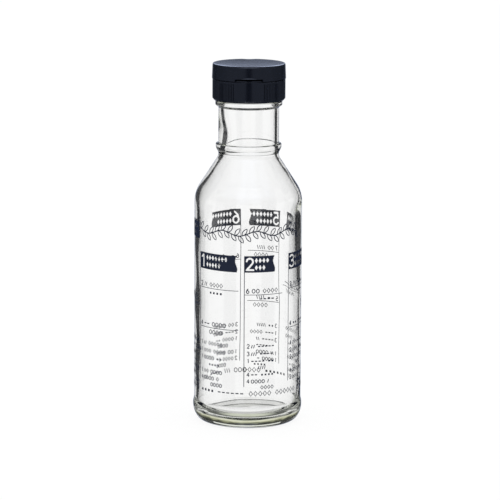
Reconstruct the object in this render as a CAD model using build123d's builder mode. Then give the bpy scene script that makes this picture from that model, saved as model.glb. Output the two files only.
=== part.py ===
from build123d import *
import os
from math import radians, sin, tan

# Salad dressing shaker: a round glass bottle, a screw cap with a pour spout, and a hinged flip lid.
# The origin is the centre of the bottle's foot. +Z is up, and -Y is the front, where the lid's thumb notch is.

# Foot and body of the bottle. The heel stands a little proud of the body.
body_radius = 29.75
glass_wall = 2.2
heel_bulge = 0.55
foot_inset = 5.8
foot_land = 0.9
pushup_height = 2.0
heel_height = 9.0
heel_band = 1.5
heel_step = 1.1
floor_height = 6.0
floor_corner = 9.0

# Shoulder
shoulder_height = 128.2
shoulder_slope = 33.0
shoulder_round = 18.0

# Finish under the cap. Its thread's radius sets the sizes of the neck and of the cap.
thread_radius = 18.7
thread_depth = 1.15
finish_wall = 3.35
finish_height = 10.0
rim_round = 0.8
edge_round = 0.6

# Neck, with a bead at its top just under the cap
neck_wall = 2.5
neck_round = 5.5
neck_length = 27.3
bead_inset = 0.3
bead_flank = 1.2
bead_height = 2.2

# Ring around the neck, with a long lower flank and a short upper one
ring_gap = 2.1
ring_depth = 1.4
ring_lower_flank = 3.2
ring_crest = 1.3
ring_upper_flank = 1.0

# Seal ring on the glass rim
seal_thickness = 1.0
seal_overlap = 0.7
seal_clearance = 0.35

# Screw cap
thread_clearance = 0.15
skirt_wall = 1.2
skirt_gap = 0.4
skirt_bevel = 1.6
skirt_lip = 0.25
deck_thickness = 1.0
cap_edge_round = 0.25

# Grip: fine grooves on both sides, with a smooth panel at the front and one at the hinge
groove_depth = 0.35
groove_width = 0.62
groove_pitch = 3.0
groove_margin = 0.9
front_panel = 25.0
hinge_panel = 23.0

# Pour spout
spout_bore = 4.5
spout_wall = 1.2
spout_height = 4.2
spout_root = 0.8

# Flip lid, which stands a little proud of the skirt
lid_overhang = 0.25
lid_height = 8.4
lid_draft = 0.4
lid_wall = 1.3
lid_edge_round = 1.1
seam_gap = 0.3

# Locating rim on the deck, inside the lid's wall
rim_clearance = 0.3
rim_wall = 1.0
rim_height = 1.5
rim_dip = 0.9

# Thumb notch and the bevel above it
notch_width = 15.3
notch_height = 1.4
bevel_height = 1.0
bevel_depth = 0.6

# Plug under the lid: a ring with a tapered nose, which swings in and out of the spout
plug_clearance = 0.05
plug_wall = 1.0
plug_land = 0.4
plug_nose = 1.2
plug_taper = 0.4

# Living hinge: a thin strip folded across the seam, seated in a boss on the cap and one on the lid
hinge_width = 12.0
hinge_film = 0.4
hinge_seat = 1.1
boss_margin = 1.0
boss_height = 4.0

# Radii that follow from the sizes above
heel_radius = body_radius + heel_bulge
foot_radius = heel_radius - foot_inset
finish_radius = thread_radius - thread_depth
bead_radius = thread_radius - bead_inset
neck_bore = finish_radius - finish_wall
neck_radius = neck_bore + neck_wall
ring_radius = neck_radius + ring_depth
cap_bore = thread_radius + thread_clearance
skirt_radius = cap_bore + skirt_wall
lid_radius = skirt_radius + lid_overhang
lid_bore = lid_radius - lid_wall
plug_radius = spout_bore - plug_clearance

# Heights that follow
shoulder_end = shoulder_height + (body_radius - neck_radius) / tan(radians(shoulder_slope))
ring_bottom = shoulder_end + ring_gap
ring_crest_bottom = ring_bottom + ring_lower_flank
ring_crest_top = ring_crest_bottom + ring_crest
bead_bottom = shoulder_end + neck_length
bead_top = bead_bottom + bead_flank + bead_height
mouth_height = bead_top + finish_height
deck_bottom = mouth_height + seal_thickness
deck_top = deck_bottom + deck_thickness
skirt_bottom = bead_top + skirt_gap
spout_top = deck_top + spout_height
lid_bottom = deck_top + seam_gap
lid_top = lid_bottom + lid_height
lid_ceiling = lid_top - lid_wall
seam_middle = deck_top + seam_gap / 2


def inner_cone_height(radius):
    # Height of the shoulder's inner face, which lies one wall inside the outer cone
    slope = radians(shoulder_slope)
    return shoulder_height + (body_radius - radius) / tan(slope) - glass_wall / sin(slope)


# Glass bottle, turned in one outline: foot, heel, body, shoulder, neck, finish, then back down the inside
with BuildPart() as glass_bottle:
    with BuildSketch(Plane.XZ):
        with BuildLine():
            pushup = TangentArc((0, pushup_height), (foot_radius - foot_land, 0), tangent=(1, 0))
            foot = Line(pushup @ 1, (foot_radius, 0))
            heel = EllipticalCenterArc(
                (foot_radius, heel_height), heel_radius - foot_radius, heel_height, 270, arc_size=90
            )
            heel_top = heel_height + heel_band
            outside = FilletPolyline(
                heel @ 1,
                (heel_radius, heel_top),
                (body_radius, heel_top + heel_step),
                (body_radius, shoulder_height),
                (neck_radius, shoulder_end),
                (neck_radius, ring_bottom),
                (ring_radius, ring_crest_bottom),
                (ring_radius, ring_crest_top),
                (neck_radius, ring_crest_top + ring_upper_flank),
                (neck_radius, bead_bottom),
                (bead_radius, bead_bottom + bead_flank),
                (bead_radius, bead_top),
                (finish_radius, bead_top),
                (finish_radius, mouth_height),
                (neck_bore, mouth_height),
                (neck_bore, inner_cone_height(neck_bore)),
                (body_radius - glass_wall, inner_cone_height(body_radius - glass_wall)),
                (body_radius - glass_wall, floor_height),
                (0, floor_height),
                radius=[
                    0,
                    0,
                    shoulder_round,
                    neck_round,
                    0,
                    1.8,
                    edge_round,
                    0,
                    0,
                    edge_round,
                    edge_round,
                    0,
                    rim_round,
                    rim_round,
                    neck_round + glass_wall,
                    shoulder_round - glass_wall,
                    floor_corner,
                ],
            )
            Line(outside @ 1, pushup @ 0)
        make_face()
    revolve(axis=Axis.Z)
glass_bottle.part.label = "glass_bottle"

# Seal ring, flat on the mouth
with BuildPart() as seal_ring:
    with BuildSketch(Plane.XY.offset(mouth_height)):
        Circle(cap_bore - seal_clearance)
        Circle(neck_bore - seal_overlap, mode=Mode.SUBTRACT)
    extrude(amount=seal_thickness)
seal_ring.part.label = "seal_ring"

# Screw cap with its deck, locating rim and pour spout
with BuildPart() as cap_body:
    rim_radius = lid_bore - rim_clearance
    spout_radius = spout_bore + spout_wall
    with BuildSketch(Plane.XZ):
        with BuildLine():
            cap_outline = FilletPolyline(
                (0, skirt_bottom),
                (cap_bore + skirt_lip, skirt_bottom),
                (skirt_radius, skirt_bottom + skirt_bevel),
                (skirt_radius, deck_top),
                (rim_radius, deck_top),
                (rim_radius, deck_top + rim_height),
                (rim_radius - rim_wall, deck_top + rim_height),
                (rim_radius - rim_wall, deck_top),
                (spout_radius, deck_top),
                (spout_radius, spout_top),
                (0, spout_top),
                radius=[
                    0,
                    0,
                    cap_edge_round,
                    0,
                    cap_edge_round,
                    cap_edge_round,
                    0,
                    spout_root,
                    cap_edge_round,
                ],
            )
            Line(cap_outline @ 1, cap_outline @ 0)
        make_face()
    revolve(axis=Axis.Z)

    # Flat boss at the back, which gives the hinge strip a straight edge
    with BuildSketch(Plane.YZ):
        with BuildLine():
            Polyline(
                (cap_bore, deck_top),
                (lid_radius, deck_top),
                (lid_radius, deck_top - boss_height),
                (cap_bore, deck_top - boss_height - lid_radius + cap_bore),
                close=True,
            )
        make_face()
    extrude(amount=hinge_width / 2 + boss_margin, both=True)

    # Bore for the neck, and the spout's hole through the deck
    with BuildSketch(Plane.XY.offset(skirt_bottom)):
        Circle(cap_bore)
    extrude(amount=deck_bottom - skirt_bottom, mode=Mode.SUBTRACT)
    with BuildSketch(Plane.XY.offset(deck_bottom)):
        Circle(spout_bore)
    extrude(amount=spout_top - deck_bottom, mode=Mode.SUBTRACT)
    spout_lip = cap_body.edges().filter_by(GeomType.CIRCLE).group_by(Axis.Z)[-1].sort_by(SortBy.RADIUS)[0]
    fillet(spout_lip, radius=cap_edge_round)

    # Dip in the locating rim behind the thumb notch
    with BuildSketch(Plane.XY.offset(deck_top + rim_height - rim_dip)):
        with Locations((0, -rim_radius)):
            Rectangle(notch_width, rim_radius - spout_radius, align=(Align.CENTER, Align.MIN))
    extrude(amount=rim_dip, mode=Mode.SUBTRACT)

    # Grip grooves, from the front panel round to the hinge panel on both sides
    groove_spill = 2 * groove_depth
    groove_count = int((180 - front_panel - hinge_panel) / groove_pitch) + 1
    groove_flare = groove_width * (groove_depth + groove_spill) / groove_depth / 2
    with BuildSketch(Plane.XY.offset(skirt_bottom)):
        for side in (1, -1):
            with PolarLocations(
                skirt_radius,
                groove_count,
                start_angle=-90 + side * front_panel,
                angular_range=side * groove_pitch * (groove_count - 1),
                endpoint=True,
            ):
                Polygon(
                    (-groove_depth, 0),
                    (groove_spill, -groove_flare),
                    (groove_spill, groove_flare),
                    align=None,
                )
    extrude(amount=deck_top - groove_margin - skirt_bottom, mode=Mode.SUBTRACT)

    # Seat for the hinge strip's lower leg
    with BuildSketch(Plane.XY.offset(deck_top - hinge_film)):
        with Locations((0, lid_radius - hinge_seat / 2)):
            Rectangle(hinge_width, hinge_seat)
    extrude(amount=hinge_film, mode=Mode.SUBTRACT)
cap_body.part.label = "cap_body"

# Living hinge, folded as it lies with the lid shut
with BuildPart() as living_hinge:
    with BuildSketch(Plane.YZ):
        with BuildLine():
            fold_inside = CenterArc((lid_radius, seam_middle), seam_gap / 2, -90, 180)
            fold_outside = CenterArc((lid_radius, seam_middle), seam_gap / 2 + hinge_film, -90, 180)
            leg_start = lid_radius - hinge_seat
            Polyline(
                fold_outside @ 0,
                (leg_start, deck_top - hinge_film),
                (leg_start, deck_top),
                fold_inside @ 0,
            )
            Polyline(
                fold_inside @ 1,
                (leg_start, lid_bottom),
                (leg_start, lid_bottom + hinge_film),
                fold_outside @ 1,
            )
        make_face()
    extrude(amount=hinge_width / 2, both=True)
living_hinge.part.label = "living_hinge"

# Flip lid
with BuildPart() as flip_lid:
    with BuildSketch(Plane.XZ):
        with BuildLine():
            lid_outline = FilletPolyline(
                (0, lid_bottom),
                (lid_radius, lid_bottom),
                (lid_radius - lid_draft, lid_top),
                (0, lid_top),
                radius=[cap_edge_round, lid_edge_round],
            )
            Line(lid_outline @ 1, lid_outline @ 0)
        make_face()
    revolve(axis=Axis.Z)

    # Boss above the hinge strip, in line with the one on the cap
    with BuildSketch(Plane.YZ):
        with BuildLine():
            Polyline(
                (lid_bore, lid_bottom),
                (lid_radius, lid_bottom),
                (lid_radius, lid_bottom + boss_height),
                (lid_bore, lid_bottom + boss_height + lid_wall),
                close=True,
            )
        make_face()
    extrude(amount=hinge_width / 2 + boss_margin, both=True)

    # Hollow of the lid
    with BuildSketch(Plane.XZ):
        with BuildLine():
            hollow = FilletPolyline(
                (0, lid_bottom),
                (lid_bore, lid_bottom),
                (lid_bore - lid_draft, lid_ceiling),
                (0, lid_ceiling),
                radius=[0, lid_edge_round],
            )
            Line(hollow @ 1, hollow @ 0)
        make_face()
    revolve(axis=Axis.Z, mode=Mode.SUBTRACT)

    # Plug for the spout
    with BuildSketch(Plane.XZ):
        with BuildLine():
            Polyline(
                (plug_radius, lid_ceiling),
                (plug_radius, spout_top - plug_land),
                (plug_radius - plug_taper, spout_top - plug_land - plug_nose),
                (plug_radius - plug_wall, spout_top - plug_land - plug_nose),
                (plug_radius - plug_wall, lid_ceiling),
                close=True,
            )
        make_face()
    revolve(axis=Axis.Z)

    # Thumb notch through the front wall, and the bevel that leads the thumb to it
    with BuildSketch(Plane.XY.offset(lid_bottom)):
        with Locations((0, -lid_radius)):
            Rectangle(notch_width, 2 * (lid_wall + rim_clearance))
    extrude(amount=notch_height, mode=Mode.SUBTRACT)
    notch_top = lid_bottom + notch_height
    with BuildSketch(Plane.YZ):
        with BuildLine():
            Polyline(
                (-lid_radius - bevel_depth, notch_top),
                (-lid_radius + bevel_depth, notch_top),
                (-lid_radius - bevel_depth, notch_top + 2 * bevel_height),
                close=True,
            )
        make_face()
    extrude(amount=notch_width / 2, both=True, mode=Mode.SUBTRACT)

    # Seat for the hinge strip's upper leg
    with BuildSketch(Plane.XY.offset(lid_bottom)):
        with Locations((0, lid_radius - hinge_seat / 2)):
            Rectangle(hinge_width, hinge_seat)
    extrude(amount=hinge_film, mode=Mode.SUBTRACT)
flip_lid.part.label = "flip_lid"

os.makedirs("parts", exist_ok=True)
export_step(glass_bottle.part, "parts/glass_bottle.step")
export_step(seal_ring.part, "parts/seal_ring.step")
export_step(cap_body.part, "parts/cap_body.step")
export_step(living_hinge.part, "parts/living_hinge.step")
export_step(flip_lid.part, "parts/flip_lid.step")
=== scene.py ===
import math
import random
import bpy
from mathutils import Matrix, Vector


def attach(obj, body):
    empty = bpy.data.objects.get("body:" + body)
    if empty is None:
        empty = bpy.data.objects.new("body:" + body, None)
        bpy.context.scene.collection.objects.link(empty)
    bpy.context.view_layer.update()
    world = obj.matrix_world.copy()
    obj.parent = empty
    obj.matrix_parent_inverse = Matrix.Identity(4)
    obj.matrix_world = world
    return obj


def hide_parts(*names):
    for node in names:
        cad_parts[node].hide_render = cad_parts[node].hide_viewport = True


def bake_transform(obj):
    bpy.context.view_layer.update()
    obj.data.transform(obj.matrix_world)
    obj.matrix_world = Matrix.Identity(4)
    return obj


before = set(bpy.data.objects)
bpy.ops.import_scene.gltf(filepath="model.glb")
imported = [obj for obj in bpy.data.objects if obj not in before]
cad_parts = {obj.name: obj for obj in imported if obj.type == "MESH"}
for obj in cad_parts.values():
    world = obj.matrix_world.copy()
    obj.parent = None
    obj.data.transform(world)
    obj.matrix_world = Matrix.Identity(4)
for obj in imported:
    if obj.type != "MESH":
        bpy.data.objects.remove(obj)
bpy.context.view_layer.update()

scene = bpy.context.scene
mm = 0.001
print("frame loaded")


# Shader wiring

class Wire:
    # A socket that takes plain arithmetic, so that a formula reads like one
    def __init__(self, tree, socket):
        self.tree = tree
        self.socket = socket

    def node(self, kind, settings=None, sockets=None, output=0):
        return addNode(self.tree, kind, settings, sockets, output)

    def math(self, operation, *others):
        return self.node("ShaderNodeMath", {"operation": operation}, dict(enumerate((self, *others))))

    def __add__(self, other):
        return self.math("ADD", other)

    def __sub__(self, other):
        return self.math("SUBTRACT", other)

    def __mul__(self, other):
        return self.math("MULTIPLY", other)

    def __truediv__(self, other):
        return self.math("DIVIDE", other)

    def __rsub__(self, other):
        return self.math("MULTIPLY_ADD", -1.0, other)

    def __rtruediv__(self, other):
        return self.math("POWER", -1.0) * other

    __radd__ = __add__
    __rmul__ = __mul__

    def ramp(self, low, high, bottom=0.0, top=1.0):
        # Smooth step from bottom to top as the value goes from low to high
        return self.node(
            "ShaderNodeMapRange",
            {"interpolation_type": "SMOOTHSTEP"},
            {"Value": self, "From Min": low, "From Max": high, "To Min": bottom, "To Max": top},
        )

    def towards(self, other, share):
        # This value where share is 0, and the other where it is 1
        return self * (1.0 - share) + other * share

    def tint(self, first, second):
        # Colour between two colours, by this value. Sockets 6 and 7 take them, and output 2 gives it.
        first, second = (end if isinstance(end, Wire) else (*end, 1.0) for end in (first, second))
        return self.node("ShaderNodeMix", {"data_type": "RGBA"}, {0: self, 6: first, 7: second}, output=2)


def addNode(tree, kind, settings=None, sockets=None, output=0):
    node = tree.nodes.new(kind)
    for name, value in (settings or {}).items():
        setattr(node, name, value)
    for name, value in (sockets or {}).items():
        if isinstance(value, Wire):
            tree.links.new(value.socket, node.inputs[name])
        else:
            node.inputs[name].default_value = value
    return Wire(tree, node.outputs[output]) if len(node.outputs) else None


def newMaterial(name):
    material = bpy.data.materials.new(name)
    material.use_nodes = True
    material.node_tree.nodes.clear()
    return material, material.node_tree


def addSurface(tree, sockets, volume=None):
    # Wires a shader with these values to the material's output
    ends = {"Surface": addNode(tree, "ShaderNodeBsdfPrincipled", None, sockets)}
    if volume is not None:
        ends["Volume"] = volume
    addNode(tree, "ShaderNodeOutputMaterial", None, ends)


# Mesh helpers

def addObject(name, data):
    item = bpy.data.objects.new(name, data)
    scene.collection.objects.link(item)
    return item


def addPiece(name, vertices, faces, material, sharpAngle=28.0):
    # Vertices are in mm
    mesh = bpy.data.meshes.new(name)
    mesh.from_pydata([(x * mm, y * mm, z * mm) for x, y, z in vertices], [], faces)
    mesh.validate()
    mesh.shade_smooth()
    mesh.set_sharp_from_angle(angle=math.radians(sharpAngle))
    mesh.materials.append(material)
    return addObject(name, mesh)


def roundedPath(corners, closed=False):
    # Path through (radius, height, rounding) corners with an arc at each rounded one
    path = []
    count = len(corners)
    for index, (radius, height, rounding) in enumerate(corners):
        here = Vector((radius, height))
        if rounding == 0 or (not closed and index in (0, count - 1)):
            path.append(here)
            continue
        before = (Vector(corners[index - 1][:2]) - here).normalized()
        after = (Vector(corners[(index + 1) % count][:2]) - here).normalized()
        half = before.angle(after) / 2
        centre = here + (before + after).normalized() * rounding / math.sin(half)
        first = here + before * rounding / math.tan(half) - centre
        last = here + after * rounding / math.tan(half) - centre
        spread = first.angle(last)
        steps = max(4, math.ceil(spread / math.radians(9 if rounding < 5 else 3)))
        for step in range(steps + 1):
            share = step / steps
            arm = first * math.sin((1 - share) * spread) + last * math.sin(share * spread)
            path.append(centre + arm / math.sin(spread))
    return path


def refined(path, stepAt):
    # Cuts long runs of a path into steps no longer than stepAt allows there
    fine = [path[0]]
    for start, end in zip(path, path[1:]):
        step = stepAt((start + end) / 2)
        parts = max(1, math.ceil((end - start).length / step))
        fine += [start.lerp(end, part / parts) for part in range(1, parts + 1)]
    return fine


def turned(path, angles, shape, closed=False):
    # Turns a path about Z. shape gives the radius and height that a point of the path has at an angle.
    vertices, columns = [], []
    poles = {}  # points on the axis, which all angles share
    for angle in angles:
        column = []
        for row, (radius, height) in enumerate(path):
            if radius < 1e-6:
                if row not in poles:
                    poles[row] = len(vertices)
                    vertices.append((0.0, 0.0, shape(radius, height, angle, row)[1]))
                column.append(poles[row])
                continue
            r, z = shape(radius, height, angle, row)
            column.append(len(vertices))
            vertices.append((r * math.sin(angle), -r * math.cos(angle), z))
        columns.append(column)
    faces = []
    last = len(path) if closed else len(path) - 1
    for index, column in enumerate(columns):
        following = columns[(index + 1) % len(columns)]
        for row in range(last):
            below = (row + 1) % len(path)
            corners = (column[row], following[row], following[below], column[below])
            face = tuple(dict.fromkeys(corners))
            if len(face) > 2:
                faces.append(face)
    return vertices, faces


def smooth(value):
    value = min(1.0, max(0.0, value))
    return value * value * (3 - 2 * value)


def near(height, middle, reach):
    # 1 at the middle, fading above and below it
    return math.exp(-(((height - middle) / reach) ** 2))


def ridge(offset, foot, crest):
    # Height of a rounded thread ridge, from 0 to 1, at a distance from its middle
    return smooth((foot - abs(offset)) / (foot - crest))


def helix(angle, height, low, pitch, turns, foot, crest):
    # Strength of a right-hand thread ridge that starts at height low at the front and fades at its ends
    strength = 0.0
    for lap in range(math.ceil(turns) + 1):
        share = angle / math.tau + lap
        if share <= turns:
            fade = smooth(share / 0.07) * smooth((turns - share) / 0.07)
            strength = max(strength, fade * ridge(height - low - pitch * share, foot, crest))
    return strength


def evenAngles(count):
    return [math.tau * index / count for index in range(count)]


# Glass bottle. Its outer form is the CAD node's, its inner face wavers as blown glass does.

glassLook = {
    "ior": 1.5,
    "tint": (0.95, 0.96, 0.915),  # what passes through thick glass
    "density": 30.0,
    "waver": 1.0,  # 1 is the wall's own unevenness, 0 an even wall
    "leftLean": 0.5,  # how far the inner face is pulled aslant at each side of the body, in mm
    "leftPull": 127.0,  # height of the strongest pull on the left
    "rightLean": 0.24,
    "shift": 0.35,  # how much thicker the wall is on the left, in mm
    "rightThick": 0.4,  # thicker place in the body's wall on the right, in mm
    "rightSpan": (70.0, 126.0),  # heights of its ends
    "rightDark": 2.0,  # how much its inner face leans there
    "swelling": 1.05,  # thicker place inside the neck on the left, in mm
    "swellingHeight": 160.5,
    "ripple": 0.8,  # unevenness at the back of the neck's root, in mm
    "rippleHeight": 150.0,
    "floorWave": 0.12,  # unevenness of the inside floor, in mm
    "segments": 324,
}

glass, tree = newMaterial("flintGlass")
addSurface(
    tree,
    {
        "Base Color": (1.0, 1.0, 1.0, 1.0),
        "Roughness": 0.0,
        "IOR": glassLook["ior"],
        "Transmission Weight": 1.0,
    },
    addNode(
        tree,
        "ShaderNodeVolumeAbsorption",
        None,
        {"Color": (*glassLook["tint"], 1.0), "Density": glassLook["density"]},
    ),
)

# The CAD's sizes in mm
bodyRadius = 29.75
wall = 2.2
floorHeight = 6.0
footStart = 23.6  # inner and outer edge of the flat ring that the bottle stands on
footEnd = 24.5
pushUp = 2.0  # how far the foot is hollowed in its middle
heelReach = 5.8
heelHeight = 9.0
heelBulge = 0.55
heelTop = 9.5  # where the bulge starts to fade
heelFade = 3.6  # and over what height
slope = math.radians(33)
shoulderHeight = 128.2
neckRadius = 16.7
neckBore = 14.2
ringRadius = 18.1
beadRadius = 18.4
finishRadius = 17.55
shoulderEnd = shoulderHeight + (bodyRadius - neckRadius) / math.tan(slope)
beadTop = shoulderEnd + 30.7
mouthHeight = beadTop + 10.0
threadDepth = 1.15
pitch = 4.233
threadLow = mouthHeight - 7.4


def innerCone(radius):
    # Height of the shoulder's inner face at a radius
    return shoulderHeight + (bodyRadius - radius) / math.tan(slope) - wall / math.sin(slope)


def bottlePath():
    # From the middle of the foot, up the outside, over the mouth and down the inside
    bowl = (footStart**2 + pushUp**2) / (2 * pushUp)  # radius of the hollow foot's curve
    path = []
    for step in range(13):
        radius = footStart * step / 12
        path.append(Vector((radius, math.sqrt(bowl**2 - radius**2) - bowl + pushUp)))
    for step in range(31):
        turn = math.radians(90 * step / 30)
        out, up = heelReach * math.sin(turn), heelHeight - heelHeight * math.cos(turn)
        path.append(Vector((footEnd + out, up)))
    for step in range(1, 13):
        share = step / 12
        path.append(Vector((bodyRadius + heelBulge * (1 - smooth(share)), heelTop + heelFade * share)))
    path += roundedPath(
        [
            (bodyRadius, heelTop + heelFade, 0),  # the path is there already
            (bodyRadius, shoulderHeight, 18),
            (neckRadius, shoulderEnd, 5.5),
            (neckRadius, shoulderEnd + 2.1, 2.0),
            (ringRadius, shoulderEnd + 5.0, 3.2),
            (ringRadius, shoulderEnd + 7.0, 0.5),
            (neckRadius, shoulderEnd + 7.45, 0.25),
            (neckRadius, beadTop - 3.4, 0.6),
            (beadRadius, beadTop - 2.2, 0.6),
            (beadRadius, beadTop, 0.6),
            (finishRadius, beadTop, 0.2),
            (finishRadius, mouthHeight, 0.8),
            (neckBore, mouthHeight, 0.8),
            (neckBore, innerCone(neckBore), 7.7),
            (bodyRadius - wall, innerCone(bodyRadius - wall), 15.8),
            (bodyRadius - wall, floorHeight, 6.0),
            (0, floorHeight, 0),
        ]
    )[1:]

    def step(point):
        threaded = point.y > beadTop and point.x > neckRadius + 0.3
        return 0.3 if threaded else 2.5

    return refined(path, step)


def waver(angle, height):
    # Unevenness of the wall in mm, from waves of several lengths.
    # The angle's sine is 1 at the right and -1 at the left.
    inBody = smooth((142 - height) / 10)
    left = max(0.0, -math.sin(angle)) ** 4 * glassLook["leftLean"]
    left *= 1.0 + 0.5 * math.sin(height / 5.33 + 1.47) + 0.9 * near(height, glassLook["leftPull"], 4)
    right = max(0.0, math.sin(angle)) ** 4 * glassLook["rightLean"]
    low, high = glassLook["rightSpan"]
    thick = smooth((height - low) / 9) * smooth((high - height) / 9)
    right *= 0.1 + math.sin(height / 9.9 + 0.3) - glassLook["rightDark"] * thick
    lean = (left + right) * math.sin(2 * angle)
    middle = 0.05 * math.sin(3 * angle - height / 15)
    fine = 0.012 * math.sin(7 * angle + height / 8)
    fine -= glassLook["rightThick"] * thick * smooth((math.sin(angle) - 0.72) / 0.24)
    return glassLook["waver"] * (lean * inBody + middle + fine) + glassLook["shift"] * math.sin(angle)


bottleProfile = bottlePath()
mouthRow = max(range(len(bottleProfile)), key=lambda row: bottleProfile[row].y)


def shapeBottle(radius, height, angle, row):
    if row <= mouthRow:
        if radius > finishRadius - 0.15 and height > beadTop + 0.3:
            strength = helix(angle, height, threadLow, pitch, turns=1.15, foot=1.25, crest=0.35)
            radius += threadDepth * strength
        return radius, height
    # Even at the floor and the mouth, and in the neck half as uneven as in the body
    calm = smooth((height - 7) / 12) * smooth((mouthHeight - 6 - height) / 8)
    share = 1.0 if radius > 20 else 0.5
    radius += waver(angle, height) * calm * share
    if radius < 18:
        left = smooth(-math.sin(angle + 0.3))
        radius -= glassLook["swelling"] * left * near(height, glassLook["swellingHeight"], 7)
        far = max(0.0, -math.cos(angle)) * near(height, glassLook["rippleHeight"], 6)
        height += glassLook["ripple"] * math.sin(3 * angle + 0.9) * far
    if height < floorHeight + 0.4 and radius < 20:
        fade = smooth((20 - radius) / 18) * smooth(radius / 6)
        height += glassLook["floorWave"] * fade * math.sin(2 * angle + 1)
    return radius, height


vertices, faces = turned(bottleProfile, evenAngles(glassLook["segments"]), shapeBottle)
bottle = addPiece("blownBottle", vertices, faces, glass)
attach(bottle, "bottle")
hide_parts("glass_bottle")
print("bottle made")


# Print on the glass: seven columns with a dark tab each, level lines, rows of small marks and a leaf band

printLook = {
    "ink": (0.009, 0.013, 0.028),
    "lift": 0.02,  # gap to the glass in mm
    "body": 0.03,  # thickness in mm
    "tabHeight": 9.2,
    "tabBottom": 88.4,
    "tabNumber": 6.4,  # height of the number in a tab
    "tabLozenge": (0.85, 1.45),  # half width and half height
    "levelNumber": 2.5,  # heights of numbers and marks at the level lines, in the rows and in the ring
    "levelMark": 2.2,
    "rowNumber": 2.2,
    "rowMark": 1.9,
    "ringMark": 2.5,
    "ringHeight": 19.4,
    "leafHeight": 109.8,
    "leaf": (4.6, 1.9),  # length and width
    "leafLine": 0.48,
    "stemLine": 0.6,
    "thinLine": 0.32,
    "markLine": 0.44,
    "cell": 0.24,  # grain of the tabs' outlines in mm
}

inkMaterial, tree = newMaterial("darkInk")
addSurface(tree, {"Base Color": (*printLook["ink"], 1.0), "Roughness": 0.45, "Specular IOR Level": 0.3})

inkVertices, inkFaces = [], []


def onGlass(along, height, outer):
    # Point on the body, from its distance along the wall and its height in mm
    radius = bodyRadius + printLook["lift"] + (printLook["body"] if outer else 0.0)
    angle = along / bodyRadius
    return radius * math.sin(angle), -radius * math.cos(angle), height


def stroke(points, width, closed=False):
    # Ribbon of ink along (along, height) points
    points = [Vector(p) for p in points]
    if not closed:
        points = refined(points, lambda middle: 1.2)
    count = len(points)
    base = len(inkVertices)
    for index, point in enumerate(points):
        before = points[index - 1] if closed or index else point
        after = points[(index + 1) % count] if closed or index < count - 1 else point
        direction = (after - before).normalized()
        side = Vector((-direction.y, direction.x)) * width / 2
        for edge, outer in ((side, False), (-side, False), (-side, True), (side, True)):
            spot = point + edge
            inkVertices.append(onGlass(spot.x, spot.y, outer))
    for index in range(count if closed else count - 1):
        a = base + 4 * index
        b = base + 4 * ((index + 1) % count)
        for corner in range(4):
            other = (corner + 1) % 4
            inkFaces.append((a + corner, a + other, b + other, b + corner))
    if not closed:
        end = base + 4 * (count - 1)
        inkFaces.append((base + 3, base + 2, base + 1, base))
        inkFaces.append((end, end + 1, end + 2, end + 3))


def cellPatch(left, bottom, width, height, size, filled):
    # Patch of ink made of small cells, where filled says which cells are there
    columns = round(width / size)
    rows = round(height / size)
    present = {
        (i, j)
        for i in range(columns)
        for j in range(rows)
        if filled((i + 0.5) * size, (j + 0.5) * size)
    }
    known = {}

    def corner(i, j, outer):
        key = (i, j, outer)
        if key not in known:
            known[key] = len(inkVertices)
            inkVertices.append(onGlass(left + i * size, bottom + j * size, outer))
        return known[key]

    for i, j in present:
        ring = ((i, j), (i + 1, j), (i + 1, j + 1), (i, j + 1))
        inkFaces.append(tuple(corner(*spot, True) for spot in ring))
        inkFaces.append(tuple(corner(*spot, False) for spot in reversed(ring)))
        for k, beside in enumerate(((i, j - 1), (i + 1, j), (i, j + 1), (i - 1, j))):
            if beside not in present:
                a, b = ring[k], ring[(k + 1) % 4]
                under, over = [corner(*a, False), corner(*b, False)], [corner(*b, True), corner(*a, True)]
                inkFaces.append(tuple(under + over))


def arcPoints(x, y, rx, ry, start, end, steps=8):
    # Points on an ellipse, with angles in degrees
    turns = [math.radians(start + (end - start) * step / steps) for step in range(steps + 1)]
    return [(x + rx * math.cos(t), y + ry * math.sin(t)) for t in turns]


# Plain numbers 1 to 7 as strokes in a box 0.6 wide and 1 high
numbers = {
    1: [[(0.12, 0.8), (0.36, 1.0), (0.36, 0.0)]],
    2: [arcPoints(0.3, 0.72, 0.27, 0.28, 170, -40) + [(0.04, 0.0), (0.6, 0.0)]],
    3: [arcPoints(0.27, 0.75, 0.26, 0.25, 150, -90), arcPoints(0.27, 0.27, 0.3, 0.27, 90, -150)],
    4: [[(0.46, 0.0), (0.46, 1.0), (0.0, 0.28), (0.62, 0.28)]],
    5: [[(0.54, 1.0), (0.12, 1.0), (0.07, 0.56)] + arcPoints(0.27, 0.31, 0.3, 0.31, 120, -150)],
    6: [arcPoints(0.3, 0.3, 0.28, 0.3, 0, 360, 14), [(0.04, 0.36), (0.12, 0.7), (0.42, 1.0)]],
    7: [[(0.0, 1.0), (0.58, 1.0), (0.2, 0.0)]],
}


def number(digit, left, bottom, height, width):
    for points in numbers[digit]:
        stroke([(left + x * height, bottom + y * height) for x, y in points], width)


def distanceTo(points, u, v):
    # Distance of (u, v) from a line through points
    spot = Vector((u, v))
    nearest = 1e9
    for start, end in zip(points, points[1:]):
        start, end = Vector(start), Vector(end)
        run = end - start
        share = min(1.0, max(0.0, (spot - start).dot(run) / run.length_squared))
        nearest = min(nearest, (spot - start - run * share).length)
    return nearest


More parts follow.
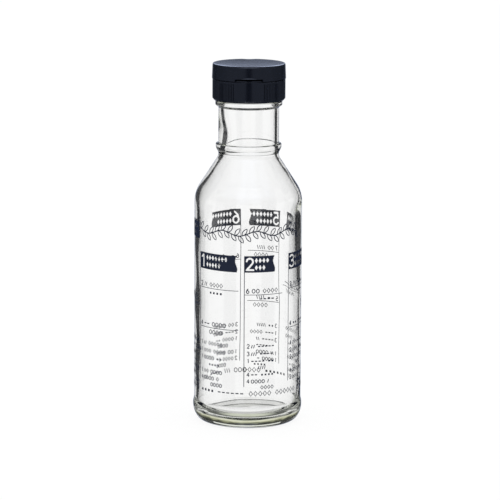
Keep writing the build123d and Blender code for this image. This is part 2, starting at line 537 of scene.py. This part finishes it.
def tab(left, width, digit, raised):
    # Dark tab with a waved right end. A plain number and two rows of lozenges are left open in it.
    size = printLook["tabNumber"]
    lines = [[(1.2 + size * x, 1.4 + size * y) for x, y in points] for points in numbers[digit]]
    wide = width >= 20
    lozenges = [(6.7 + 2.1 * index, 6.6) for index in range(7 if wide else 4)]
    lozenges += [(6.7 + 2.1 * index, 2.7) for index in range(5 if wide else 3)]
    halfWidth, halfHeight = printLook["tabLozenge"]

    def filled(u, v):
        end = width - 0.7 + 0.6 * math.cos(math.pi * (v / printLook["tabHeight"] * 2 - 0.35))
        if u > end or any(abs(u - x) / halfWidth + abs(v - y) / halfHeight < 1 for x, y in lozenges):
            return False
        pastNumber = u > 6.2
        return pastNumber or min(distanceTo(points, u, v) for points in lines) > 0.5

    bottom = printLook["tabBottom"] + raised
    cellPatch(left, bottom, width, printLook["tabHeight"], printLook["cell"], filled)


def markRow(left, bottom, groups, chooser, size):
    # Row of groups, each of one kind: slanted ticks, rings, blocks, dashes or lozenges. Gives its end.
    along = left
    width = printLook["markLine"]
    for group in groups:
        kind = chooser.choice(("ring", "lozenge", "tick", "block", "lozenge", "dash"))
        for _ in range(group):
            x, y = along + 0.4 * size, bottom + 0.5 * size
            if kind == "tick":
                stroke([(along, bottom), (along + 0.3 * size, bottom + size)], width)
            elif kind == "ring":
                stroke(arcPoints(x, y, 0.38 * size, 0.5 * size, 0, 324, 9), width, closed=True)
            elif kind == "block":
                y = bottom + 0.45 * size
                stroke([(x - 0.26 * size, y), (x + 0.26 * size, y)], 0.52 * size)
            elif kind == "lozenge":
                ends = ((-0.4, 0), (0, -0.55), (0.4, 0), (0, 0.55))
                stroke([(x + a * size, y + b * size) for a, b in ends], width, closed=True)
            else:
                stroke([(along, y), (along + 0.7 * size, y)], width * 1.4)
            along += (0.62 if kind == "tick" else 1.05) * size
        along += 0.7 * size
    return along


def arcLength(degrees):
    return bodyRadius * math.radians(degrees)


# Height, indent and groups of marks of each row
rowPlan = [
    (46.2, 1.8, (2, 5)),
    (42.0, 1.8, (3, 4)),
    (38.0, 1.8, (4, 2)),
    (34.4, 8.0, (4,)),
    (30.4, 1.8, (2, 4)),
    (26.6, 1.8, (4, 1)),
    (23.2, 9.5, (4,)),
]


def column(digit, start, width, levels, floor=26.0, raised=0.0):
    # One column: divider down to floor, tab, numbered level lines, and rows of a number and marks
    chooser = random.Random(digit * 7)
    left = arcLength(start)
    tab(left, arcLength(width), digit, raised)
    top = printLook["tabBottom"] + raised + 0.4
    stroke([(left + 0.2, top), (left + 0.2, floor)], printLook["thinLine"] + 0.06)
    for amount, height, run in levels:
        stroke([(left + 0.4, height), (left + run, height)], printLook["thinLine"])
        number(amount, left + 1.3, height + 0.9, printLook["levelNumber"], printLook["markLine"] + 0.06)
        markRow(left + 4.4, height + 1.0, (2, 4), chooser, printLook["levelMark"])
        markRow(left + 8.5, height - 3.4, (4,), chooser, printLook["levelMark"])
    for height, indent, groups in rowPlan:
        if indent < 5:  # rows that are set in further have no number
            amount = chooser.randint(1, 4)
            number(amount, left + indent, height, printLook["rowNumber"], printLook["markLine"])
        markRow(left + max(indent, 4.2), height, groups, chooser, printLook["rowMark"])


# Number, start and width in degrees, and levels as (number, height, length of the line)
column(1, -61, 50, [(2, 78.0, 26.5), (4, 56.0, 26.5)])
column(2, -4, 34, [(6, 76.0, 22.5)], floor=24.5)
column(3, 48, 40, [(2, 78.0, 20.0), (4, 56.0, 20.0)])
column(4, 94, 34, [(6, 72.0, 21.0)], raised=16.0)
column(5, 141, 39, [(7, 90.0, 21.0), (5, 61.0, 21.0)], raised=16.0)
column(6, 189, 41, [(6, 85.0, 24.0)], raised=16.0)
column(7, 264, 34, [(5, 70.0, 16.0)], raised=16.0)

# Ring of marks above the heel
chooser = random.Random(2)
along = arcLength(-178)
while along < arcLength(170):
    group = chooser.randint(3, 6)
    along = markRow(along, printLook["ringHeight"], (group,), chooser, printLook["ringMark"]) + 0.5


def leaf(along, height, turn):
    # Outline of one leaf that grows from a point in a direction
    length, width = printLook["leaf"]
    forth = [(step / 6, 1) for step in range(7)]
    back = [(1 - step / 6, -1) for step in range(1, 6)]
    points = []
    for share, side in forth + back:
        u, v = length * share, side * width * math.sin(math.pi * share) ** 0.8 * 0.5
        points.append((
            along + u * math.cos(turn) - v * math.sin(turn),
            height + u * math.sin(turn) + v * math.cos(turn),
        ))
    stroke(points, printLook["leafLine"], closed=True)


def leafBand(start, end):
    # Waved stem with leaves in turn above and below it
    def onStem(along):
        return along, printLook["leafHeight"] + 1.3 * math.sin(along / 3.1)

    stem = []
    along = start
    while along <= end:
        stem.append(onStem(along))
        along += 0.6
    stroke(stem, printLook["stemLine"])
    along = start + 1.0
    turn = math.radians(55)
    while along < end - 1:
        leaf(*onStem(along), turn)
        along += 2.0
        turn = -turn


leafBand(arcLength(-62), arcLength(62))

printed = addPiece("inkPrint", inkVertices, inkFaces, inkMaterial, sharpAngle=40.0)
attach(printed, "bottle")
print("print made", len(inkFaces))


# Black plastic of cap, lid and hinge strip

plasticLook = {
    "colour": (0.0022, 0.0031, 0.0062),
    "roughness": 0.22,
    "skirtRoughness": 0.14,  # the skirt is smoother than the lid
    "grain": 900.0,  # fineness of the moulded texture
    "patches": 70.0,  # and of the patches that differ a little in tone and gloss
    "unevenness": 1.25,  # how much lighter the lightest patch is
}
foamLook = {"colour": (0.78, 0.78, 0.75), "roughness": 0.7, "cells": 2500.0}


def mouldedPlastic(name, roughness):
    material, tree = newMaterial(name)
    place = addNode(tree, "ShaderNodeTexCoord", output=3)
    grain, patches = (
        addNode(tree, "ShaderNodeTexNoise", None, {"Vector": place, "Scale": scale, "Detail": 2.0})
        for scale in (plasticLook["grain"], plasticLook["patches"])
    )
    bump = addNode(tree, "ShaderNodeBump", None, {"Height": grain, "Strength": 0.12, "Distance": 0.00004})
    lighter = tuple(part * plasticLook["unevenness"] for part in plasticLook["colour"])
    addSurface(
        tree,
        {
            "Base Color": patches.tint(plasticLook["colour"], lighter),
            "Roughness": patches.ramp(0.3, 0.7, roughness - 0.03, roughness + 0.04),
            "Normal": bump,
        },
    )
    return material


lidPlastic = mouldedPlastic("satinLidPlastic", plasticLook["roughness"])
skirtPlastic = mouldedPlastic("smoothSkirtPlastic", plasticLook["skirtRoughness"])

foam, tree = newMaterial("paleFoam")
place = addNode(tree, "ShaderNodeTexCoord", output=3)
cells = addNode(tree, "ShaderNodeTexVoronoi", None, {"Vector": place, "Scale": foamLook["cells"]})
bump = addNode(tree, "ShaderNodeBump", None, {"Height": cells, "Strength": 0.2, "Distance": 0.00005})
addSurface(
    tree, {"Base Color": (*foamLook["colour"], 1.0), "Roughness": foamLook["roughness"], "Normal": bump}
)

for name, finish in (
    ("glass_bottle", glass),
    ("seal_ring", foam),
    ("cap_body", skirtPlastic),
    ("living_hinge", lidPlastic),
    ("flip_lid", lidPlastic),
):
    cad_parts[name].data.materials.clear()
    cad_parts[name].data.materials.append(finish)


# Screw cap: ribbed skirt, thread, deck, locating rim and spout

skirtBottom = beadTop + 0.4
deckTop = mouthHeight + 2.0
capBore = 18.85
skirtRadius = 20.05
lidRadius = 20.3
lidBottom = deckTop + 0.3
lidTop = lidBottom + 8.4
spoutTop = deckTop + 4.2

gripLook = {"depth": 0.35, "halfWidth": math.radians(0.886), "pitch": math.radians(3), "count": 45}
capLook = {
    "skirtBevel": 1.2,
    "seamBevel": 0.1,
    "rim": (17.7, 18.7),  # inner and outer radius of the locating rim
    "rimHeight": 1.5,
    "rimLeft": 0.75,  # what its dip behind the lid's thumb notch leaves of that
    "spout": (4.5, 5.7),  # inner and outer radius
    "deck": 1.0,
    "threadDepth": 0.9,
    "threadTurns": 1.6,
}
frontPanel = math.radians(25)  # half of the smooth panel
bossHalf = 7.0  # half the width of the hinge's bosses, and their height
bossHeight = 4.0
notchHalf = 7.65  # half the width of the lid's thumb notch
rimGap = math.asin(notchHalf / (sum(capLook["rim"]) / 2))  # half the dip in the locating rim
hair = 0.0004  # between the two sides of an upright step in a turned form, in radians
slack = 1e-6


def angleFrom(middle, angle):
    # Signed difference of two angles
    return (angle - middle + math.pi) % math.tau - math.pi


def bossRadius(angle, height, fullFrom, fullTo):
    # Radius of the flat boss at the back, or 0 beside it. It slopes away outside its full height.
    back = abs(angleFrom(math.pi, angle))
    if lidRadius * math.tan(back) > bossHalf + 0.01 or back > 1:
        return 0.0
    short = max(fullFrom - height, height - fullTo, 0.0)
    return (lidRadius - short) / math.cos(back)


def ribCut(angle, height):
    # Depth of the grip grooves at a point of the skirt
    side = abs(angleFrom(0.0, angle)) - frontPanel
    nearest = min(gripLook["count"] - 1, max(0, round(side / gripLook["pitch"])))
    offset = abs(side - nearest * gripLook["pitch"])
    if offset >= gripLook["halfWidth"]:
        return 0.0
    fade = smooth((deckTop - 0.75 - height) / 0.35)
    return gripLook["depth"] * (1 - offset / gripLook["halfWidth"]) * fade


def bossAngles(radius):
    # Angles of the boss on a wall of this radius
    edge = math.atan(bossHalf / lidRadius)
    found = {math.pi - edge * index / 10 for index in range(11)}
    return found | {math.pi - math.asin(bossHalf / radius) - hair}


def bothSides(found):
    # Angles in order, with those of the right half also on the left
    right = {angle for angle in found if angle <= math.pi}
    return sorted(right | {math.tau - angle for angle in right if 0 < angle < math.pi})


def capAngles():
    found = set()
    for index in range(gripLook["count"]):
        middle = frontPanel + index * gripLook["pitch"]
        for share in (-1.0, -0.5, 0.0, 0.5, 1.0):
            found.add(middle + share * gripLook["halfWidth"])
        found.add(middle + gripLook["pitch"] / 2)
    found |= {math.radians(1.6) * index for index in range(15)}
    found |= {rimGap, rimGap + hair}
    return bothSides(found | bossAngles(skirtRadius))


def capPath():
    # From the foot of the skirt, up the outside, over the deck and back inside
    rimInner, rimOuter = capLook["rim"]
    rimTop = deckTop + capLook["rimHeight"]
    spoutInner, spoutOuter = capLook["spout"]
    ceiling = deckTop - capLook["deck"]
    corners = [
        (capBore + 0.25, skirtBottom, 0.12),
        (skirtRadius, skirtBottom + capLook["skirtBevel"], 0.4),
        (skirtRadius, deckTop - capLook["seamBevel"], 0.06),
        (skirtRadius - 0.4, deckTop, 0.06),
        (rimOuter, deckTop, 0.1),
        (rimOuter, rimTop, 0.25),
        (rimInner, rimTop, 0.25),
        (rimInner, deckTop, 0.25),
        (spoutOuter, deckTop, 0.8),
        (spoutOuter, spoutTop, 0.25),
        (spoutInner, spoutTop, 0.25),
        (spoutInner, ceiling, 0.15),
        (capBore, ceiling, 0.3),
        (capBore, skirtBottom, 0.12),
    ]

    def step(point):
        inSkirt = point.x > capBore - 0.05 and point.y < deckTop
        return 0.3 if inSkirt else 3.0

    return refined(roundedPath(corners, closed=True), step)


def shapeCap(radius, height, angle, row):
    # Grooves and boss outside the skirt, the thread inside it, and the dip in the locating rim
    atDip = abs(angleFrom(0.0, angle)) <= rimGap + slack
    if radius > capBore + 0.1:
        radius = min(radius, skirtRadius - ribCut(angle, height))
        radius = max(radius, bossRadius(angle, height, deckTop - bossHeight, deckTop))
    elif radius > capBore - 0.05 and skirtBottom + 1.2 < height < deckTop - 1.3:
        turns = capLook["threadTurns"]
        strength = helix(angle, height, threadLow - pitch / 2, pitch, turns, foot=1.0, crest=0.3)
        radius -= capLook["threadDepth"] * strength
    elif atDip and radius > capLook["rim"][0] - 0.3 and height > deckTop:
        height = min(height, deckTop + capLook["rimLeft"])
    return radius, height


vertices, faces = turned(capPath(), capAngles(), shapeCap, closed=True)
cap = addPiece("ribbedCap", vertices, faces, skirtPlastic)
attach(cap, "cap")
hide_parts("cap_body")


# Flip lid: notch and thumb bevel at the front, boss at the back, plug underneath

lidLook = {
    "sink": 0.6,  # depth of the dished top
    "dishRadius": 19.2,
    "backEdge": 18.9,  # where the top starts to slope down to the hinge
    "backSlope": 0.5,
    "seamBevel": 0.1,
    "inside": (19.0, 18.6),  # radius of the hollow at its open end and at its ceiling
    "ceiling": 1.3,
    "plug": (4.45, 4.05, 3.45),  # radius of its shank, its nose and its bore
    "notchHeight": 1.4,
    "bevelDepth": 0.6,
    "bevelHeight": 1.0,
}
lidCeiling = lidTop - lidLook["ceiling"]
notchTop = lidBottom + lidLook["notchHeight"]
notchHalfAngle = math.asin(notchHalf / lidRadius)


def lidPath():
    # From the middle of the top, down the outside and back inside round the plug
    openRadius, ceilingRadius = lidLook["inside"]
    shank, nose, bore = lidLook["plug"]
    corners = [
        (0, lidTop, 0),
        (lidRadius - 1.0, lidTop, 0.3),
        (lidRadius - 0.5, lidTop - 0.17, 0.2),
        (lidRadius - 0.28, lidTop - 1.05, 0.6),
        (lidRadius, lidBottom + lidLook["seamBevel"], 0.06),
        (lidRadius - 0.5, lidBottom, 0.06),
        (openRadius, lidBottom, 0.15),
        (ceilingRadius, lidCeiling, 1.1),
        (shank, lidCeiling, 0.3),
        (shank, spoutTop - 0.4, 0.2),
        (nose, spoutTop - 1.6, 0.15),
        (bore, spoutTop - 1.6, 0.15),
        (bore, lidCeiling, 0.3),
        (0, lidCeiling, 0),
    ]

    def step(point):
        # The point is the middle of the run that is cut
        if point.x < openRadius + 0.1 or point.y > lidBottom + 7:
            return 2.0
        return 0.12 if point.y < notchTop + 1.3 else 0.16

    return refined(roundedPath(corners), step)


def lidAngles():
    found = {math.radians(0.8) * index for index in range(28)}
    found |= {notchHalfAngle, notchHalfAngle + hair}
    found |= {math.radians(24 + 2 * index) for index in range(67)}
    return bothSides(found | bossAngles(lidRadius))


def shapeLid(radius, height, angle, row):
    # Dished top that slopes down at the back, notch and bevel at the front, boss at the back
    front = abs(angleFrom(0.0, angle))
    atNotch = front <= notchHalfAngle + slack
    if height > lidTop - 0.001:
        height -= lidLook["sink"] * (1 - min(1.0, radius / lidLook["dishRadius"]) ** 2)
    beyond = -radius * math.cos(angle) - lidLook["backEdge"]
    if beyond > 0:
        height = min(height, lidTop - lidLook["backSlope"] * beyond)
    if atNotch and radius > 17.5 and height < notchTop:
        height = notchTop + 0.004 * (height - notchTop)  # rows below the notch's top gather just under it
    if radius > lidLook["inside"][0] + 0.05:
        if atNotch and height < notchTop + 1.05:
            rise = (height - notchTop) / lidLook["bevelHeight"]
            radius = min(radius, (lidRadius - lidLook["bevelDepth"] * (1 - rise)) / math.cos(front))
        radius = max(radius, bossRadius(angle, height, lidBottom, lidBottom + bossHeight))
    return radius, height


vertices, faces = turned(lidPath(), lidAngles(), shapeLid)
lid = addPiece("flipLid", vertices, faces, lidPlastic)
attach(lid, "lid")
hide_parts("flip_lid")


# Hinge strip: a fold of thin plastic whose legs end inside the two bosses

stripLook = {
    "halfWidth": 6.0,
    "outer": 0.55,  # radii of the fold's outside and inside
    "inner": 0.17,
    "seat": 0.4,  # how far its legs reach into the bosses
    "steps": 16,
}
seamMiddle = (deckTop + lidBottom) / 2


def stripSection():
    # Outline in (depth, height): around the outside of the fold, then back along its inside
    outer, inner = [], []
    for step in range(stripLook["steps"] + 1):
        turn = math.radians(-90 + 180 * step / stripLook["steps"])
        for ring, radius in ((outer, stripLook["outer"]), (inner, stripLook["inner"])):
            ring.append((lidRadius + radius * math.cos(turn), seamMiddle + radius * math.sin(turn)))
    end = lidRadius - stripLook["seat"]
    outer, inner = ([(end, ring[0][1])] + ring + [(end, ring[-1][1])] for ring in (outer, inner))
    return outer + inner[::-1]


section = stripSection()
vertices, faces = [], []
across = [stripLook["halfWidth"] * (index / 4 - 1) for index in range(9)]
for x in across:
    vertices += [(x, y, z) for y, z in section]
count = len(section)
for index in range(len(across) - 1):
    for k in range(count):
        a, b = index * count + k, index * count + (k + 1) % count
        faces.append((a, b, b + count, a + count))
half = count // 2
for base in (0, (len(across) - 1) * count):
    for k in range(half - 1):
        quad = (base + k, base + k + 1, base + count - 2 - k, base + count - 1 - k)
        faces.append(quad if base else quad[::-1])
strip = addPiece("hingeStrip", vertices, faces, lidPlastic)
(seamMiddle - 0.3) * mm
(seamMiddle + 0.3) * mm
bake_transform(strip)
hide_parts("living_hinge")
print("cap, lid and hinge made")


# Studio: white floor and backdrop, soft light all round

studio = {
    "floorGlow": 0.9,
    "floorColour": (0.13, 0.13, 0.13),
    "floorSize": 6.0,  # half its width in m
    "floorDrop": 0.00005,  # how far it lies below the foot, in m
    "daylight": 0.9,  # on matt surfaces
    "seenThrough": 1.0,  # what clear glass shows
    "bentDark": 0.7,  # how much darker that is in far bent light
    "windowHalf": 29.0,  # half the width in degrees of each bright window at the glass's edge
    "edgeDark": 0.02,  # between those windows
    "upward": 0.1,  # what the thick foot shows by way of its underside
    "steep": 0.6,  # and what it shows straight down
    "solid": 0.03,  # what glass shows at least where it has no hollow behind it
    "footTint": (1.0, 0.99, 0.87),  # where much light comes through the foot, and where little does
    "deepTint": (1.0, 1.02, 0.55),
    "steepTint": (1.0, 1.04, 0.86),  # straight down through the foot
    "box": 0.34,  # soft boxes at both sides
    "behind": 0.56,  # low light from behind
    "top": 2.1,
    "glint": 2.8,  # behind the sides, for the satin plastic only
    "front": 1.0,
    "table": 1.1,
    "cool": (0.67, 0.76, 1.0),  # colour of all that shows in reflections
}

floorMaterial, tree = newMaterial("paleFloor")
matt = addNode(tree, "ShaderNodeBsdfDiffuse", None, {"Color": (*studio["floorColour"], 1.0)})
glow = addNode(tree, "ShaderNodeEmission", None, {"Strength": studio["floorGlow"]})
both = addNode(tree, "ShaderNodeAddShader", None, {0: matt, 1: glow})
addNode(tree, "ShaderNodeOutputMaterial", None, {"Surface": both})

size, drop = studio["floorSize"], studio["floorDrop"]
mesh = bpy.data.meshes.new("floor")
corners = [(-size, -size, -drop), (size, -size, -drop), (size, size, -drop), (-size, size, -drop)]
mesh.from_pydata(corners, [], [(0, 1, 2, 3)])
mesh.materials.append(floorMaterial)
floor = addObject("floor", mesh)
floor.visible_glossy = False
floor.visible_transmission = False

world = bpy.data.worlds.new("studio")
scene.world = world
world.use_nodes = True
world.cycles.sampling_method = "NONE"
tree = world.node_tree
tree.nodes.clear()
lightPath = tree.nodes.new("ShaderNodeLightPath")
isCamera = Wire(tree, lightPath.outputs["Is Camera Ray"])
isGlossy = Wire(tree, lightPath.outputs["Is Glossy Ray"])
isThrough = Wire(tree, lightPath.outputs["Is Transmission Ray"])
isSharp = Wire(tree, lightPath.outputs["Is Singular Ray"])  # from the glass, not from the satin plastic
mirrored = Wire(tree, lightPath.outputs["Glossy Depth"]).math("GREATER_THAN", 0.5)
often = Wire(tree, lightPath.outputs["Glossy Depth"]).math("GREATER_THAN", 1.5)  # mirrored more than once
deep = Wire(tree, lightPath.outputs["Transmission Depth"]).math("GREATER_THAN", 2.5)  # past the hollow

# Direction that is looked in: x to the right, y to the back, and z from -1, straight down, to 1
direction = addNode(tree, "ShaderNodeTexCoord", output=0)
split = tree.nodes.new("ShaderNodeSeparateXYZ")
tree.links.new(direction.socket, split.inputs[0])
x, y, z = (Wire(tree, output) for output in split.outputs)
perRadian = 57.2958
azimuth = x.math("ARCTAN2", y) * perRadian  # 0 is behind the bottle, 180 where the photo was taken from

# Seen by way of the glass's edges: bright windows every 90 degrees, dark between them and above
fold = azimuth.math("WRAP", 45.0, -45.0).math("ABSOLUTE")
windows = fold.ramp(studio["windowHalf"] + 1.5, studio["windowHalf"] - 1.5)
around = windows * (0.9 - studio["edgeDark"]) + studio["edgeDark"]
upward = z.ramp(0.3, 0.9) * 0.6 + z.ramp(0.26, 0.4) * studio["upward"] + 0.01
rising = z.ramp(0.1, 0.17)
falling = z.ramp(-0.4, -0.55)
steep = z.ramp(-0.7, -0.95) * (studio["steep"] - 0.08) + 0.08
edgeLook = around.towards(upward, rising).towards(steep, falling)
level = z.ramp(-0.34, -0.28) * z.ramp(-0.08, -0.14)  # as the wall of the body sends light on
oftenLook = (windows * 0.5 + 0.22).towards(edgeLook * 0.3, level)
edgeLook = edgeLook.towards(oftenLook, often)
edgeLook = edgeLook.towards(edgeLook * 0.5 + 0.37, deep)

# Seen through solid glass only, such as the foot: streaks of light and dark
streaks = addNode(tree, "ShaderNodeTexNoise", None, {"Vector": direction, "Scale": 9.0, "Detail": 3.0})
solidLook = (z + streaks * 0.16).ramp(0.3, 0.46) * 0.72 + studio["solid"]

# Seen through clear glass: white, but darker where a corner in the glass turns the view far down or up
bent = z.ramp(-0.62, -0.72) * 0.6 + z.ramp(0.2, 0.36)
clearLook = solidLook.towards((1.0 - bent * studio["bentDark"]) * studio["seenThrough"], deep)

# Seen in reflections: soft boxes on both sides of a dark middle, and lights behind, above and below
facing = (x.math("ARCTAN2", y * -1.0) * perRadian).math("ABSOLUTE")  # 0 is at the front, 180 behind
boxes = facing.ramp(6.5, 11.0) * (facing.ramp(115.0, 55.0) * 0.65 + 0.35)
boxes = boxes * facing.ramp(130.0, 112.0) * studio["box"]
backLight = facing.ramp(150.0, 178.0) * (z.ramp(0.3, 0.0) * 0.85 + 0.15) * studio["behind"]
overhead = z.ramp(0.37, 0.56) * z.ramp(0.98, 0.7) * (y.ramp(-0.3, 0.3) * 0.6 + 0.4) * studio["top"]
sideways = facing.ramp(50.0, 80.0) * facing.ramp(178.0, 164.0)
overhead = overhead * (1.0 + sideways * (1.3 - 2.2 * isSharp))
frontBox = facing.ramp(40.0, 14.0) * z.ramp(0.1, 0.3) * z.ramp(0.98, 0.85) * studio["front"]
table = z.ramp(-0.7, -0.95) * facing.ramp(60.0, 30.0) * studio["table"]
glint = facing.ramp(118.0, 150.0) * facing.ramp(178.0, 170.0) * z.ramp(0.16, 0.32) * z.ramp(0.8, 0.6)
glint = glint * (1.0 - isSharp) * studio["glint"]
reflected = boxes + backLight + overhead + frontBox + table + glint + 0.07

through = clearLook.towards(edgeLook, mirrored)
glossyOnly = isGlossy * (1.0 - isThrough)
plain = (1.0 - isCamera) * (1.0 - isGlossy) * (1.0 - isThrough)
strength = isCamera + isThrough * through + glossyOnly * reflected + plain * studio["daylight"]
white = (1.0, 1.0, 1.0)
cool = glossyOnly.tint(white, studio["cool"])
inFoot = isThrough * (1.0 - deep)
olive = (inFoot * mirrored * falling).tint(white, studio["steepTint"])
olive = (inFoot * (1.0 - mirrored)).tint(olive, solidLook.tint(studio["deepTint"], studio["footTint"]))
product = {"data_type": "RGBA", "blend_type": "MULTIPLY"}
colour = addNode(tree, "ShaderNodeMix", product, {0: 1.0, 6: cool, 7: olive}, output=2)
sky = addNode(tree, "ShaderNodeBackground", None, {"Color": colour, "Strength": strength})
addNode(tree, "ShaderNodeOutputWorld", None, {"Surface": sky})

scene.view_settings.view_transform = "Standard"
scene.cycles.max_bounces = 24
scene.cycles.transmission_bounces = 24
scene.cycles.glossy_bounces = 16


# Camera

cameraPlace = {
    "aim": (0.0011, 0.0, 0.0954),  # point at the middle of the picture
    "distance": 1.4417,
    "pitch": math.radians(10.6),
    "roll": math.radians(0.33),
    "lens": 187.2,
}
cameraData = bpy.data.cameras.new("camera")
cameraData.lens = cameraPlace["lens"]
cameraData.sensor_width = 36.0
cameraData.clip_start = 0.05
cameraData.clip_end = 60.0
camera = addObject("camera", cameraData)
back = Vector((0.0, -math.cos(cameraPlace["pitch"]), math.sin(cameraPlace["pitch"])))
camera.location = Vector(cameraPlace["aim"]) + back * cameraPlace["distance"]
camera.rotation_euler = (math.pi / 2 - cameraPlace["pitch"], 0.0, 0.0)
camera.rotation_euler.rotate_axis("Z", cameraPlace["roll"])
scene.camera = camera

print("stage set")
